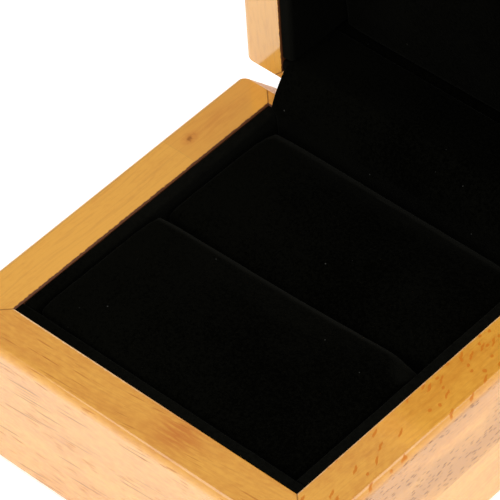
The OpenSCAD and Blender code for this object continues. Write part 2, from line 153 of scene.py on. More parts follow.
class VelvetProperties(bpy.types.PropertyGroup):
    """Colour and pile of the velvet, and how the pads are stuffed."""

    black: FloatVectorProperty(
        name="Black",
        description="Colour of the velvet seen into the pile",
        default=(0.0005, 0.0005, 0.0003, 1),
        **COLOUR,
    )
    brushed: FloatVectorProperty(
        name="Brushed",
        description="Colour of the velvet where the pile leans over",
        default=(0.0020, 0.0020, 0.0014, 1),
        **COLOUR,
    )
    # Painted shade: a darker copy of the brushed colour for the velvet inside the lid
    lid_painted_shade: FloatVectorProperty(
        name="Shaded",
        description="Colour of the velvet in the lid where the pile leans over",
        default=(0.0017, 0.0017, 0.0012, 1),
        **COLOUR,
    )
    # Partly crushed pile, partly painted light: painted sheen on the pads' rear edges, painted
    # light on the linings' top edges and inner faces
    crushed_and_painted_light: FloatVectorProperty(
        name="Crushed",
        description="Colour of the velvet that is drawn tight over an edge",
        default=(0.0058, 0.0058, 0.0047, 1),
        **COLOUR,
    )
    lint: FloatVectorProperty(
        name="Lint",
        description="Colour of the specks of lint",
        default=(0.035, 0.035, 0.032, 1),
        **COLOUR,
    )
    tint: FloatVectorProperty(
        name="Sheen tint",
        description="Colour of the light edge that the pile shows at a low angle",
        default=(1, 1, 0.85, 1),
        **COLOUR,
    )
    sheen: FloatProperty(
        name="Sheen",
        description="Strength of the light edge that the pile shows at a low angle",
        default=0.014,
        **SHARE,
    )
    pressure: FloatProperty(
        name="Stuffing",
        description="Pressure inside a pad while its cover is settled",
        min=0,
        max=20,
        default=4,
    )
    swell: FloatProperty(
        name="Swell",
        description="Most that the stuffing may raise the cover",
        unit="LENGTH",
        default=0.3 * MM,
    )
    spread: FloatProperty(
        name="Spread",
        description="Most that the cover may move sideways or sink",
        unit="LENGTH",
        default=0.06 * MM,
    )
    tuck: FloatProperty(
        name="Tuck",
        description="How much smaller a pad starts before it is stuffed",
        unit="LENGTH",
        default=0.1 * MM,
    )
    settle_frames: IntProperty(
        name="Settling frames",
        description="Frames that the cover is given to settle",
        min=1,
        max=60,
        default=20,
    )


class SteelProperties(bpy.types.PropertyGroup):
    """Finish of the hinge."""

    nickel: FloatVectorProperty(
        name="Nickel",
        description="Colour of the plated steel",
        default=(0.62, 0.60, 0.56, 1),
        **COLOUR,
    )
    tarnish: FloatVectorProperty(
        name="Tarnish",
        description="Colour that the plate turns to in patches",
        default=(0.3, 0.27, 0.23, 1),
        **COLOUR,
    )
    roughness: FloatProperty(
        name="Roughness",
        description="Roughness of the brushed plate",
        default=0.3,
        **SHARE,
    )


class CardProperties(bpy.types.PropertyGroup):
    """Colours of the hidden card."""

    pulp: FloatVectorProperty(
        name="Pulp",
        description="Darker colour of the card",
        default=(0.035, 0.035, 0.038, 1),
        **COLOUR,
    )
    fibre: FloatVectorProperty(
        name="Fibre",
        description="Paler colour of the fibres in the card",
        default=(0.075, 0.074, 0.072, 1),
        **COLOUR,
    )


SENSOR_WIDTH = 36
CLIP_START = 10 * MM


class StageProperties(bpy.types.PropertyGroup):
    """Camera, table and light."""

    azimuth: FloatProperty(
        name="Azimuth",
        description="Turn of the camera round the box, from straight in front",
        subtype="ANGLE",
        default=math.radians(45.24),
    )
    elevation: FloatProperty(
        name="Elevation",
        description="Height of the camera above the horizon",
        subtype="ANGLE",
        default=math.radians(46.04),
    )
    roll: FloatProperty(
        name="Roll",
        description="Turn of the camera about its own line of sight",
        subtype="ANGLE",
        default=math.radians(-4.17),
    )
    distance: FloatProperty(
        name="Distance",
        description="From the camera to the point it aims at",
        unit="LENGTH",
        default=537.2 * MM,
    )
    lens: FloatProperty(
        name="Lens",
        description=f"Focal length in millimetres on a {SENSOR_WIDTH} mm sensor",
        default=299.2,
    )
    aim: FloatVectorProperty(
        name="Aim",
        description="Point at the height of the base's rim that the camera aims at",
        subtype="TRANSLATION",
        size=3,
        default=(-7.96 * MM, 2.66 * MM, RIM),
    )
    table_width: FloatProperty(
        name="Table width",
        description="Length of the table's sides",
        unit="LENGTH",
        min=0,
        default=6,
    )
    table_colour: FloatVectorProperty(
        name="Table colour",
        description="Colour of the white table",
        default=(0.85, 0.85, 0.85, 1),
        **COLOUR,
    )
    table_glow: FloatProperty(
        name="Table glow",
        description="Brightness of the white table, which lights the sides of the box",
        min=0,
        default=0.48,
    )
    room_glow: FloatProperty(
        name="Room glow",
        description="Brightness of the room behind the box",
        min=0,
        default=0.2,
    )
    front_glow: FloatProperty(
        name="Front glow",
        description="Brightness of the room behind the camera",
        min=0,
        default=1.35,
    )
    lamp_power: FloatProperty(
        name="Lamp power",
        description="Power of the broad soft lamp overhead",
        unit="POWER",
        min=0,
        default=5.0,
    )
    lamp_width: FloatProperty(
        name="Lamp width",
        description="Diameter of the lamp",
        unit="LENGTH",
        min=0,
        default=1.2,
    )
    lamp_height: FloatProperty(
        name="Lamp height",
        description="Height of the lamp above the table",
        unit="LENGTH",
        min=0,
        default=1,
    )


# Shading


class Field:
    """A value that varies over a surface: arithmetic on it adds Math nodes to its material."""

    def __init__(self, finish, socket):
        self.finish = finish
        self.socket = socket

    def math(self, operation, *values):
        inputs = dict(enumerate(values))
        return self.finish.node("ShaderNodeMath", {"operation": operation}, inputs)

    def __add__(self, other):
        return self.math("ADD", self, other)

    def __radd__(self, other):
        return self.math("ADD", other, self)

    def __sub__(self, other):
        return self.math("SUBTRACT", self, other)

    def __rsub__(self, other):
        return self.math("SUBTRACT", other, self)

    def __mul__(self, other):
        return self.math("MULTIPLY", self, other)

    def __rmul__(self, other):
        return self.math("MULTIPLY", other, self)

    def __abs__(self):
        return self.math("ABSOLUTE", self)


class Finish:
    """The nodes of a material, or of the room, built up one by one."""

    def __init__(self, owner, coordinates="Object"):
        owner.use_nodes = True
        self.owner = owner
        self.tree = owner.node_tree
        self.tree.nodes.clear()
        self.place = self.node("ShaderNodeTexCoord", {}, {}, coordinates)

    def node(self, kind, settings, inputs, output=0):
        """Adds a node: its settings first, then the values or links of its sockets."""
        made = self.tree.nodes.new(kind)
        for key, value in settings.items():
            setattr(made, key, value)
        for key, value in inputs.items():
            if isinstance(value, Field):
                self.tree.links.new(value.socket, made.inputs[key])
            else:
                made.inputs[key].default_value = value
        return Field(self, made.outputs[output])

    def band(self, value, low, high):
        """0 below low, 1 above high, and smooth between them."""
        return self.node(
            "ShaderNodeMapRange",
            {"interpolation_type": "SMOOTHSTEP"},
            {"Value": value, "From Min": low, "From Max": high},
        )

    def mix(self, share, first, second):
        """A colour between two, by a share from 0 to 1."""
        return self.node(
            "ShaderNodeMix", {"data_type": "RGBA"}, {0: share, 6: first, 7: second}, 2
        )

    def shift(self, vector, by):
        """A vector moved by another."""
        return self.node("ShaderNodeVectorMath", {"operation": "ADD"}, {0: vector, 1: by})

    def turn(self, vector, angle, axis="Z"):
        """A vector turned about an axis."""
        return self.node(
            "ShaderNodeVectorRotate",
            {"rotation_type": axis + "_AXIS"},
            {"Vector": vector, "Angle": angle},
        )

    def stretch(self, vector, size):
        """A vector measured in the given sizes along X, Y and Z."""
        scale = [1 / length for length in size]
        return self.node("ShaderNodeMapping", {}, {"Vector": vector, "Scale": scale})

    def noise(self, vector, size, detail=2.0):
        """Noise whose features have about the given size in metres along X, Y and Z."""
        cells = {"Vector": self.stretch(vector, size), "Scale": 1.0, "Detail": detail}
        return self.node("ShaderNodeTexNoise", {}, cells)

    def specks(self, vector, size, radius, share, dimensions="3D"):
        """Specks in a share of the cells of a Voronoi pattern; radius is a part of a cell."""
        kind = {"voronoi_dimensions": dimensions}
        cells = {"Vector": self.stretch(vector, size), "Scale": 1.0}
        near = self.node("ShaderNodeTexVoronoi", kind, cells, "Distance")
        colour = self.node("ShaderNodeTexVoronoi", kind, cells, "Color")
        chance = self.node("ShaderNodeSeparateColor", {}, {"Color": colour}, "Red")
        spot = 1 - self.band(near, 0.6 * radius, radius)
        picked = self.band(chance, 1 - share, 1.02 - share)
        return spot * picked

    def oval(self, centre, size):
        """Distance from a point, in parts of the given size along X, Y and Z."""
        apart = self.shift(self.place, [-c for c in centre])
        scaled = self.node("ShaderNodeVectorMath", {"operation": "DIVIDE"}, {0: apart, 1: size})
        return self.node("ShaderNodeVectorMath", {"operation": "LENGTH"}, {0: scaled}, "Value")

    def parts(self, vector):
        """The X, Y and Z of a vector."""
        return [
            self.node("ShaderNodeSeparateXYZ", {}, {"Vector": vector}, axis)
            for axis in AXES
        ]

    def bump(self, height, distance, strength):
        """A normal that follows a height of 0 to 1, which stands for a distance."""
        return self.node(
            "ShaderNodeBump",
            {},
            {"Height": height, "Distance": distance, "Strength": strength},
        )

    def surface(self, inputs):
        """Ends a material in a Principled shader."""
        shader = self.node("ShaderNodeBsdfPrincipled", {}, inputs)
        return self.end("ShaderNodeOutputMaterial", shader)

    def end(self, kind, shader):
        """Links the last shader to an output, and gives the material or room back."""
        output = self.tree.nodes.new(kind)
        self.tree.links.new(shader.socket, output.inputs["Surface"])
        return self.owner


def new_finish(name):
    """An empty material."""
    return Finish(bpy.data.materials.new(name))


def grain_size(along, length, width):
    """Sizes along X, Y and Z of what is long with the grain and narrow across it."""
    return [length if axis == along else width for axis in AXES]


# Steps along X, Y and Z between boards that are cut from one log
BOARDS_APART = (0.173, 0.091, 0.137)


def lacquered_wood(
    name,
    wood,
    along,
    seed,
    tone=0.0,
    long_pores=0.35,
    short_pores=0.3,
    slant=0.0,
    mitre=None,
    marks=None,
):
    """Wood with its grain along one axis, or a little off it, under a clear gloss lacquer."""
    finish = new_finish(name)
    from_log = [seed * step for step in BOARDS_APART]
    straight = finish.shift(finish.turn(finish.place, slant), from_log)
    sway = finish.noise(straight, grain_size(along, 40 * MM, 14 * MM), detail=1.0) - 0.5
    swayed = {axis: sway * (5 * MM) for axis in AXES}
    bent = finish.shift(straight, finish.node("ShaderNodeCombineXYZ", {}, swayed))
    bands = finish.noise(bent, grain_size(along, 60 * MM, 5 * MM))
    clouds = finish.noise(straight, grain_size(along, 13 * MM, 6 * MM), detail=3.0)
    mottle = finish.noise(straight, grain_size(along, 1.2 * MM, 0.5 * MM), detail=3.0)
    lines = finish.noise(bent, grain_size(along, 18 * MM, 0.35 * MM))
    where = finish.noise(straight, grain_size(along, 18 * MM, 3 * MM), detail=1.0)
    long_size = grain_size(along, 8 * MM, 0.42 * MM)
    long_pore = finish.specks(bent, long_size, radius=0.3, share=0.8)
    short_size = grain_size(along, 3.4 * MM, 0.34 * MM)
    short_pore = finish.specks(straight, short_size, radius=0.3, share=0.5)

    deep = finish.band(0.35 * bands + 0.3 * clouds + 0.35 * mottle + tone, 0.34, 0.66)
    line = finish.band(lines, 0.48, 0.72)
    pore = long_pores * long_pore + short_pores * short_pore
    pore = pore * finish.band(where, 0.42, 0.54)
    lacquer = 1 - 0.9 * pore
    colour = finish.mix(deep, wood.honey, wood.amber)
    colour = finish.mix(line * 0.16, colour, wood.pore)
    if marks is not None:
        colour, dull = marks(finish, wood, colour)
        lacquer = lacquer * (1 - dull)
    colour = finish.mix(pore, colour, wood.pore)
    if mitre is not None:
        glue = 1 - finish.band(mitre(finish), 0.3 * wood.joint_width, wood.joint_width)
        colour = finish.mix(glue * 0.65, colour, wood.joint)
        lacquer = lacquer * (1 - glue)
    bare = cut_face(finish)
    colour = finish.mix(bare, colour, wood.cut)
    return finish.surface(
        {
            "Base Color": colour,
            "Roughness": 0.5,
            "IOR": 1.4,
            "Coat Weight": lacquer * (1 - bare),
            "Coat Roughness": wood.gloss,
            "Coat IOR": wood.index,
            "Normal": finish.bump(1 - pore - 0.2 * line, distance=0.01 * MM, strength=0.2),
        }
    )


def base_mitre(finish):
    """Distance from the planes of the base's mitred corners."""
    x, y, _ = finish.parts(finish.place)
    return abs(abs(x) - abs(y))


def lid_mitre(finish):
    """Distance from the planes of the lid's mitred corners, with the lid open."""
    low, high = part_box("lid_top_panel")
    x, _, z = finish.parts(finish.place)
    return abs(abs(x) - abs(z - (low.z + high.z) / 2))


# The bevels' slope, and how far they lie from the hinge's axis
BEVEL_ANGLE = math.radians(47)
BEVEL_REACH = 1.25 * MM


def cut_face(finish):
    """1 on the bevels behind the hinge, which are cut after the wood is lacquered."""
    _, y, z = finish.parts(finish.place)
    back = y - HINGE.y
    up = z - HINGE.z
    base = back * math.sin(BEVEL_ANGLE) + up * math.cos(BEVEL_ANGLE) + BEVEL_REACH
    lid = back * -math.cos(BEVEL_ANGLE) + up * -math.sin(BEVEL_ANGLE) + BEVEL_REACH
    distances = {0: abs(base), 1: abs(lid)}
    nearest = finish.node("ShaderNodeMath", {"operation": "MINIMUM"}, distances)
    return 1 - finish.band(nearest, 0.02 * MM, 0.05 * MM)


def rim_line(finish, distance, width):
    """1 on a thin ragged line along an edge, by the distance from it."""
    waver = finish.noise(finish.place, [0.6 * MM] * 3) - 0.5
    return 1 - finish.band(abs(distance + width * waver), 0.5 * width, width)


# Where the front board's marks lie
FRONT_CLIMB = math.radians(5)
FRONT_PATCH = (6.4 * MM, -26.5 * MM, RIM)
FRONT_PATCH_SIZE = (6 * MM, 5 * MM, 3 * MM)
FRONT_PALE_END = 14 * MM


def front_wall_marks(finish, wood, colour):
    """Long pores that climb across the face, a deeper patch on the rim, a pale line along the
    left of the inner edge.
    """
    x, y, _ = finish.parts(finish.place)
    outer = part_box("base_front_wall")[0].y
    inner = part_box("base_front_liner")[0].y
    face = 1 - finish.band(y, outer + 0.02 * MM, outer + 0.15 * MM)
    climbing = finish.turn(finish.place, FRONT_CLIMB, "Y")
    where = finish.noise(climbing, grain_size("X", 24 * MM, 5 * MM), detail=1.0)
    pore_size = grain_size("X", 13 * MM, 0.5 * MM)
    pore = finish.specks(climbing, pore_size, radius=0.3, share=0.9)
    pore = face * pore * finish.band(where, 0.4, 0.55)
    colour = finish.mix(0.45 * pore, colour, wood.joint)
    streaks = finish.noise(finish.place, grain_size("X", 4 * MM, 0.5 * MM), detail=3.0)
    patch = finish.oval(FRONT_PATCH, FRONT_PATCH_SIZE)
    deeper = (1 - finish.band(patch, 0.0, 1.0)) * finish.band(streaks, 0.3, 0.6)
    colour = finish.mix(deeper, colour, wood.fleck)
    leftward = 1 - finish.band(x, -FRONT_PALE_END, FRONT_PALE_END)
    pale_edge = 0.85 * leftward * rim_line(finish, y - inner, width=0.35 * MM)
    return finish.mix(pale_edge, colour, wood.cut), 0.5 * pale_edge + 0.4 * pore


# Where the left board's marks lie
BUTT_JOINT = 10.1 * MM
WARM_PATCH = (-27.4 * MM, 17.5 * MM, RIM)
WARM_PATCH_SIZE = (3.2 * MM, 7 * MM, 3 * MM)
KNOT = (-28 * MM, 12.9 * MM, RIM)
KNOT_SIZE = (1.3 * MM, 2 * MM, 3 * MM)


def left_wall_marks(finish, wood, colour):
    """Two lengths butted together, the rear one with a knot and a warm patch; painted shade
    along the inner edge.
    """
    x, y, _ = finish.parts(finish.place)
    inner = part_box("base_left_liner")[0].x
    joint = y - BUTT_JOINT
    colour = finish.mix(0.3 * finish.band(joint, 0.0, 0.2 * MM), colour, wood.amber)
    streaks = finish.noise(finish.place, grain_size("Y", 4 * MM, 0.5 * MM), detail=3.0)
    patch = finish.oval(WARM_PATCH, WARM_PATCH_SIZE)
    warm = (1 - finish.band(patch, 0.0, 1.0)) * finish.band(streaks, 0.3, 0.65)
    colour = finish.mix(0.5 * warm, colour, wood.fleck)
    waver = finish.noise(finish.place, [0.8 * MM] * 3) - 0.5
    knot = finish.oval(KNOT, KNOT_SIZE) + waver
    colour = finish.mix(0.6 * (1 - finish.band(knot, 0.1, 1.0)), colour, wood.fleck)
    core = 1 - finish.band(knot, 0.05, 0.4)
    colour = finish.mix(0.55 * core, colour, wood.joint)
    colour = finish.mix(0.1 * rim_line(finish, joint, width=0.12 * MM), colour, wood.joint)
    # Painted shade along the inner edge, in the joint colour
    dark = rim_line(finish, x - inner, width=0.35 * MM)
    return finish.mix(dark, colour, wood.joint), dark + 0.9 * core


def rear_wall_marks(finish, wood, colour):
    """Painted shade along the inner edge."""
    _, y, _ = finish.parts(finish.place)
    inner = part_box("base_front_liner")[0].y
    # Painted shade along the inner edge, in the joint colour
    dark = rim_line(finish, y + inner, width=0.25 * MM)
    return finish.mix(dark, colour, wood.joint), dark


def lid_left_marks(finish, wood, colour):
    """Painted shade along the inner edge."""
    x, _, _ = finish.parts(finish.place)
    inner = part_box("lid_left_liner")[0].x
    # Painted shade along the inner edge, in the joint colour
    dark = rim_line(finish, x - inner, width=0.2 * MM)
    return finish.mix(dark, colour, wood.joint), 0.12 + 0.88 * dark


# The right board's short pores, and the slant of the flecks on its rim
DASH_SIZE = (0.6 * MM, 1.4 * MM, 0.38 * MM)
FLECK_SLANT = math.radians(-30)


def right_wall_marks(finish, wood, colour):
    """A pinkish face with short pores, and a rim with flecks and a pale line along the inner
    edge.
    """
    x, y, z = finish.parts(finish.place)
    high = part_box("base_right_upper_strip")[1]
    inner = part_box("base_right_liner")[1].x
    face = finish.band(x, high.x - 0.15 * MM, high.x - 0.02 * MM)
    clouds = finish.noise(finish.place, grain_size("Y", 14 * MM, 4 * MM))
    colour = finish.mix(face * finish.band(clouds, 0.2, 0.6), colour, wood.rose)
    dash = finish.specks(finish.place, DASH_SIZE, radius=0.36, share=0.8)
    dash = face * dash * finish.band(clouds, 0.3, 0.5)
    colour = finish.mix(0.6 * dash, colour, wood.joint)
    waver = finish.noise(finish.place, [0.9 * MM] * 3) - 0.5
    waved = finish.shift(
        finish.turn(finish.place, FLECK_SLANT),
        finish.node("ShaderNodeCombineXYZ", {}, {"X": waver * (0.6 * MM)}),
    )
    many = finish.band(y, -6 * MM, 9 * MM)
    streak_size = grain_size("Y", 5 * MM, 1.1 * MM)
    streak = finish.specks(waved, streak_size, 0.2, 0.45 + 0.2 * many, "2D")
    dot_size = grain_size("Y", 1.9 * MM, 1.4 * MM)
    dot = finish.specks(waved, dot_size, 0.2, 0.1 + 0.75 * many, "2D")
    fleck = (streak + dot) * finish.band(z, high.z - 0.5 * MM, high.z - 0.2 * MM)
    colour = finish.mix(0.9 * fleck, colour, wood.fleck)
    pale_edge = 0.6 * rim_line(finish, x - inner, width=0.3 * MM)
    return finish.mix(pale_edge, colour, wood.cut), 0.15 * face + 0.5 * dash + 0.8 * fleck


# The pads' own attribute: how far each point faces the rear, which places the painted sheen
REAR_FACING = "rear facing"


def painted_rear_sheen(finish):
    """Painted sheen: 1 where a pad turns over its rear edge, fading to half at the right."""
    facing = finish.node("ShaderNodeAttribute", {"attribute_name": REAR_FACING}, {}, "Fac")
    fading = finish.band(finish.parts(finish.place)[0], 10 * MM, 21 * MM)
    return finish.band(facing, 0.09, 0.42) * (1 - 0.5 * fading)


def base_rim(finish):
    """Crushed pile and painted light: about a third on the top edges of the base's linings and
    down the top 4 mm of their inner faces, which lightens the shade in the creases, less by the
    front left corner.
    """
    low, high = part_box("base_left_liner")
    _, _, z = finish.parts(finish.place)
    corner = finish.oval((low.x, low.y, high.z), [26 * MM] * 3)
    tufts = finish.noise(finish.place, [0.7 * MM] * 3)
    share = finish.band(corner, 0.1, 1.0) * (0.1 + 0.5 * tufts)
    return share * finish.band(z, high.z - 4 * MM, high.z - 0.2 * MM)


def lid_rim(finish):
    """Half on the front edges of the lid's linings, with the lid open."""
    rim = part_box("lid_front_liner")[0].y
    _, y, _ = finish.parts(finish.place)
    return 0.5 * (1 - finish.band(y, rim + 0.2 * MM, rim + 0.9 * MM))


# Steps along X, Y and Z between lengths that are cut from one roll
LENGTHS_APART = (0.031, 0.047, 0.023)


def velvet_pile(name, velvet, seed, light, tight=None):
    """Short black pile, paler where it leans over and, as painted light, towards the left; where
    a given mask says, paler again with crushed pile and painted light.
    """
    finish = new_finish(name)
    place = finish.shift(finish.place, [seed * step for step in LENGTHS_APART])
    leaning = finish.noise(place, [8 * MM] * 3, detail=3.0)
    tufts = finish.noise(place, [0.45 * MM] * 3)
    fibre = finish.noise(place, [0.15 * MM] * 3, detail=1.0)
    lint = finish.specks(place, [2.5 * MM] * 3, radius=0.05, share=0.5)
    # Painted light: the pile is paler towards the left
    left = 1 - finish.band(finish.parts(finish.place)[0], -22 * MM, 5 * MM)
    nap = 0.2 * leaning + 0.4 * tufts + 0.4 * fibre + 0.09 * left
    colour = finish.mix(finish.band(nap, 0.4, 0.62), velvet.black, light)
    # Crushed pile and painted light where the tight mask says
    if tight is not None:
        colour = finish.mix(tight(finish), colour, velvet.crushed_and_painted_light)
    colour = finish.mix(lint, colour, velvet.lint)
    return finish.surface(
        {
            "Base Color": colour,
            "Roughness": 1.0,
            "Specular IOR Level": 0.0,
            "Sheen Weight": velvet.sheen,
            "Sheen Roughness": 0.4,
            "Sheen Tint": velvet.tint,
            "Normal": finish.bump(
                fibre + tufts + 2 * leaning, distance=0.12 * MM, strength=0.6
            ),
        }
    )


def nickel_plate(name, steel, along):
    """Plated steel, brushed along one axis."""
    finish = new_finish(name)
    scratch = finish.noise(finish.place, grain_size(along, 6 * MM, 0.06 * MM), detail=3.0)
    patches = finish.noise(finish.place, [2.5 * MM] * 3, detail=3.0)
    tarnished = 0.6 * finish.band(patches, 0.52, 0.8)
    return finish.surface(
        {
            "Base Color": finish.mix(tarnished, steel.nickel, steel.tarnish),
            "Metallic": 1.0,
            "Roughness": steel.roughness + (scratch - 0.5) * 0.3,
            "Normal": finish.bump(scratch, distance=0.01 * MM, strength=0.4),
        }
    )


def grey_card(name, card):
    """Dark grey card with a fibrous face."""
    finish = new_finish(name)
    fibre = finish.noise(finish.place, (0.5 * MM, 0.5 * MM, 0.2 * MM), detail=4.0)
    return finish.surface(
        {
            "Base Color": finish.mix(fibre, card.pulp, card.fibre),
            "Roughness": 0.85 + 0.1 * fibre,
            "Normal": finish.bump(fibre, distance=0.05 * MM, strength=0.4),
        }
    )


def paint(piece, material):
    """Gives a piece one material all over."""
    piece.data.materials.clear()
    piece.data.materials.append(material)


# Modelling


def only(piece):
    """Makes one object the selected and active one."""
    bpy.ops.object.select_all(action="DESELECT")
    piece.select_set(True)
    bpy.context.view_layer.objects.active = piece


def select_edges(piece, chosen):
    """Selects the edges of the mesh in edit mode that a test chooses."""
    mesh = bmesh.from_edit_mesh(piece.data)
    bpy.ops.mesh.select_mode(type="EDGE")
    bpy.ops.mesh.select_all(action="DESELECT")
    for edge in mesh.edges:
        if chosen(edge):
            edge.select_set(True)
    bmesh.update_edit_mesh(piece.data)


def runs_along(edge, axis):
    """True for an edge that runs along X, Y or Z."""
    direction = edge.verts[1].co - edge.verts[0].co
    return abs(direction[AXES.index(axis)]) > 0.99 * direction.length


def add_modifier(piece, name, kind, **settings):
    """Adds a modifier, sets it and applies it."""
    only(piece)
    modifier = piece.modifiers.new(name, kind)
    for key, value in settings.items():
        setattr(modifier, key, value)
    bpy.ops.object.modifier_apply(modifier=modifier.name)


def roughen(piece, name, size, height):
    """Raises soft clouds of about one size on a piece."""
    texture = bpy.data.textures.new(piece.name + " " + name, "CLOUDS")
    texture.noise_scale = size
    add_modifier(
        piece, name, "DISPLACE", texture=texture, texture_coords="LOCAL", strength=height
    )


# Wrapped edges in parts of a strip's thickness, then its cuts and its sharpest smooth edge
STRIP_ROUND = 0.33
STRIP_EASE = 0.08
STRIP_CUTS_ALONG = 59
STRIP_CUTS_ACROSS = 9
STRIP_CREASE = math.radians(40)
TOUCH = 0.01 * MM


def covered_strip(name, node, rim, inward, along):
    """A strip of card wrapped in velvet: round at the rim's inner edge, and a little uneven."""
    low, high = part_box(node)
    bpy.ops.object.select_all(action="DESELECT")
    bpy.ops.mesh.primitive_cube_add(size=1, location=(low + high) / 2, scale=high - low)
    strip = bpy.context.object
    strip.name = name
    bpy.ops.object.transform_apply(location=True, rotation=True, scale=True)
    rim_place = max(corner.dot(rim) for corner in (low, high))
    face_place = max(corner.dot(inward) for corner in (low, high))
    thickness = min(high - low)
    across = AXES[[abs(part) for part in rim].index(1)]

    def on_rim(edge):
        level = all(abs(v.co.dot(rim) - rim_place) < TOUCH for v in edge.verts)
        return level and runs_along(edge, along)

    def on_face(edge):
        return all(abs(v.co.dot(inward) - face_place) < TOUCH for v in edge.verts)

    def runs_down(edge):
        return runs_along(edge, across) and edge.calc_length() > 2 * thickness

    bpy.ops.object.mode_set(mode="EDIT")
    select_edges(strip, lambda edge: on_rim(edge) and on_face(edge))
    bpy.ops.mesh.bevel(offset=STRIP_ROUND * thickness, segments=6, affect="EDGES")
    select_edges(strip, lambda edge: on_rim(edge) and not on_face(edge))
    bpy.ops.mesh.bevel(offset=STRIP_EASE * thickness, segments=1, affect="EDGES")
    select_edges(strip, lambda edge: runs_along(edge, along))
    bpy.ops.mesh.subdivide(number_cuts=STRIP_CUTS_ALONG)
    select_edges(strip, runs_down)
    bpy.ops.mesh.subdivide(number_cuts=STRIP_CUTS_ACROSS)
    bpy.ops.object.mode_set(mode="OBJECT")
    roughen(strip, "wrapping", size=3 * MM, height=0.1 * MM)
    bpy.ops.object.shade_smooth_by_angle(angle=STRIP_CREASE)
    return strip


# Pads are settled at many times their size, with the foot of the cover held
SIM_SCALE = 20
PAD_VOXEL = 0.5 * MM
FOOT_SHARE = 0.25
DENT_REACH = 5 * MM
DENT_DEPTH = 1.3 * MM


def press_corner(pad, node, towards):
    """Presses down the corner of a pad's top that lies one way from its middle."""
    low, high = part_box(node)
    corner = (low + high) / 2 + towards * (high - low) / 2
    for vertex in pad.data.vertices:
        near = max(0, 1 - (vertex.co - corner).xy.length / DENT_REACH)
        height = (vertex.co.z - low.z) / (high.z - low.z)
        vertex.co.z -= DENT_DEPTH * near * near * (3 - 2 * near) * height * height


def stuffed_pad(name, node, rim, velvet, dent=None):
    """A foam pad in its velvet cover, settled with the cloth solver at furniture size."""
    solid = frame["nodes"][node]
    pad = bpy.data.objects.new(name, solid.data.copy())
    bpy.context.scene.collection.objects.link(pad)
    only(pad)
    bpy.ops.object.mode_set(mode="EDIT")
    bpy.ops.mesh.select_all(action="SELECT")
    bpy.ops.mesh.remove_doubles(threshold=0.001 * MM)
    bpy.ops.mesh.normals_make_consistent(inside=False)
    bpy.ops.object.mode_set(mode="OBJECT")
    pad.scale = [SIM_SCALE] * 3
    bpy.ops.object.transform_apply(location=False, rotation=False, scale=True)
    pad.data.remesh_voxel_size = SIM_SCALE * PAD_VOXEL
    bpy.ops.object.voxel_remesh()
    settle_cover(pad, rim, velvet)
    pad.scale = [1 / SIM_SCALE] * 3
    bpy.ops.object.transform_apply(location=False, rotation=False, scale=True)
    add_modifier(pad, "Soften", "SMOOTH", factor=0.5, iterations=2)
    roughen(pad, "nap", size=2.5 * MM, height=0.06 * MM)
    if dent is not None:
        press_corner(pad, node, dent)
    bpy.ops.object.shade_smooth()
    # How far the cover faces the rear, which places the painted sheen on the rear edges
    facing = pad.data.attributes.new(REAR_FACING, "FLOAT", "POINT")
    facing.data.foreach_set("value", [max(0, v.normal.y) for v in pad.data.vertices])
    return pad


def settle_cover(pad, rim, velvet):
    """Draws the cover in, blows it up from its stitched foot and limits how far it moves."""
    start = [v.co.copy() for v in pad.data.vertices]
    heights = [co.dot(rim) for co in start]
    foot = min(heights) + FOOT_SHARE * (max(heights) - min(heights))
    add_modifier(pad, "Tuck", "DISPLACE", strength=-SIM_SCALE * velvet.tuck)
    pins = pad.vertex_groups.new(name="foot")
    pins.add([i for i, h in enumerate(heights) if h < foot], 1.0, "REPLACE")
    cover = pad.modifiers.new("Cover", "CLOTH")
    cover.settings.use_pressure = True
    cover.settings.uniform_pressure_force = velvet.pressure
    cover.settings.vertex_group_mass = pins.name
    cover.settings.effector_weights.gravity = 0
    cover.point_cache.frame_end = velvet.settle_frames
    scene = bpy.context.scene
    for step in range(1, velvet.settle_frames + 1):
        scene.frame_set(step)
    bpy.ops.object.modifier_apply(modifier=cover.name)
    scene.frame_set(1)
    swell = SIM_SCALE * velvet.swell
    spread = SIM_SCALE * velvet.spread
    moves = [v.co - rest for v, rest in zip(pad.data.vertices, start)]
    share = min(1, swell / max(move.dot(rim) for move in moves))
    for vertex, rest, move in zip(pad.data.vertices, start, moves):
        rise = move.dot(rim)
        slide = move - rise * rim
        slide *= min(1, spread / max(slide.length, spread))
        vertex.co = rest + slide + max(share * rise, -spread) * rim


# The hinge cover: its tails on the base and the lid, and its free stretch between them
FLAP_THICKNESS = 0.6 * MM
FLAP_GAP = 0.1 * MM
FLAP_TAIL = 6 * MM
FLAP_LID_TAIL = 9.2 * MM
FLAP_RISE = 0.15
FLAP_FOOT = 3
FLAP_STEPS = 12
FLAP_CUTS = 40
LINING_ROUND = 0.5 * MM


def to_open_lid(y, z):
    """Where the open lid holds a point of the closed box, in Y and Z."""
    return Vector((0, HINGE.y + z - HINGE.z, HINGE.z - (y - HINGE.y)))


def bezier(a, b, c, d, t):
    """A point on the curve that leaves a towards b and reaches d from c."""
    u = 1 - t
    return u**3 * a + 3 * t * u**2 * b + 3 * t * t * u * c + t**3 * d


def cover_path():
    """The hinge cover's middle line: up the base's rear wall, across, along the lid's lining."""
    low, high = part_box("base_front_liner")
    inner = -low.y
    lining = high.y - low.y
    drop = RIM - high.z
    lid_edge = HINGE.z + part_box("lid_front_wall")[0].y - HINGE.y
    base_y = inner - FLAP_GAP - FLAP_THICKNESS / 2
    lid_y = base_y - lining
    leave = Vector((0, base_y, RIM))
    join = to_open_lid(lid_y, lid_edge + drop + LINING_ROUND)
    pull = FLAP_RISE * (join - leave).length
    rising = leave + pull * UP
    nearing = join - pull * BACK
    path = [Vector((0, base_y, RIM - depth)) for depth in (FLAP_TAIL, FLAP_TAIL / 2, drop)]
    for step in range(FLAP_STEPS + 1):
        path.append(bezier(leave, rising, nearing, join, step / FLAP_STEPS))
    for share in (0.4, 0.7, 1.0):
        path.append(to_open_lid(lid_y, lid_edge + FLAP_LID_TAIL * share))
    return path


